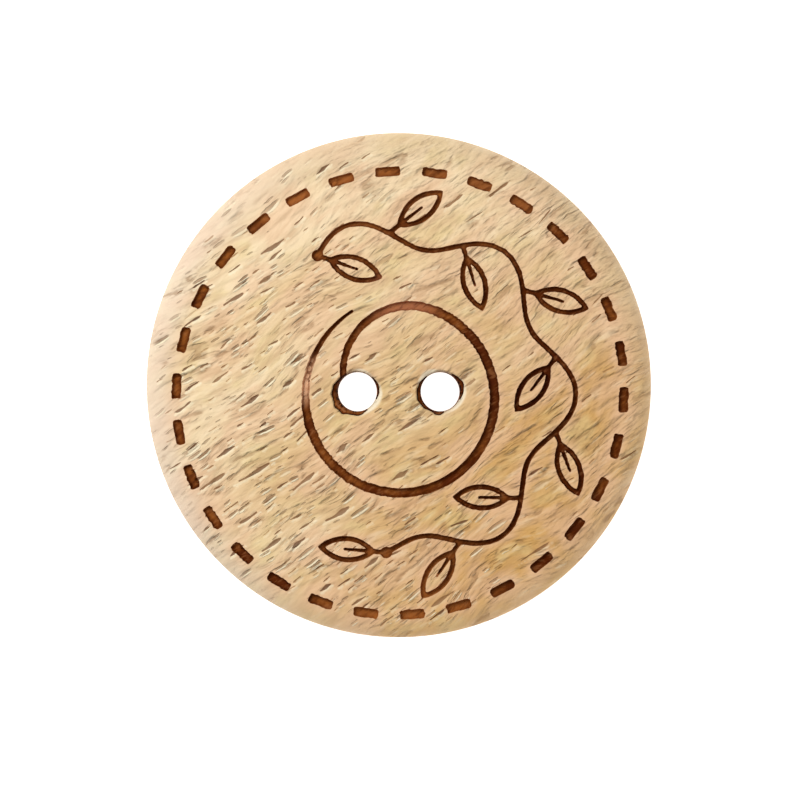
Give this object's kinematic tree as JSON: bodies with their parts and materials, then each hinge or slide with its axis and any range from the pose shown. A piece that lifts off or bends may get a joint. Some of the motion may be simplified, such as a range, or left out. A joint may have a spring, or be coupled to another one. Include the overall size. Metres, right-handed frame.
{
  "type": "wooden sewing button",
  "caption": "Round flat sewing button of beech with rounded edges, drilled thread holes, and a burnt-in ring of stitches, thread loop and leaf sprig on its face.",
  "frame": {"origin": "centre of the flat back, on the axis of the turned body", "axes": "+Z out of the engraved face, +X along the line from the left thread hole to the right one, +Y to the top of the design"},
  "size_m": [0.023, 0.023, 0.004],
  "materials": {
    "beech": "fine-sanded bare beech with short brown flecks, and lines burnt dark brown"
  },
  "bodies": {
    "root": {"button": "beech"}
  },
  "joints": []
}
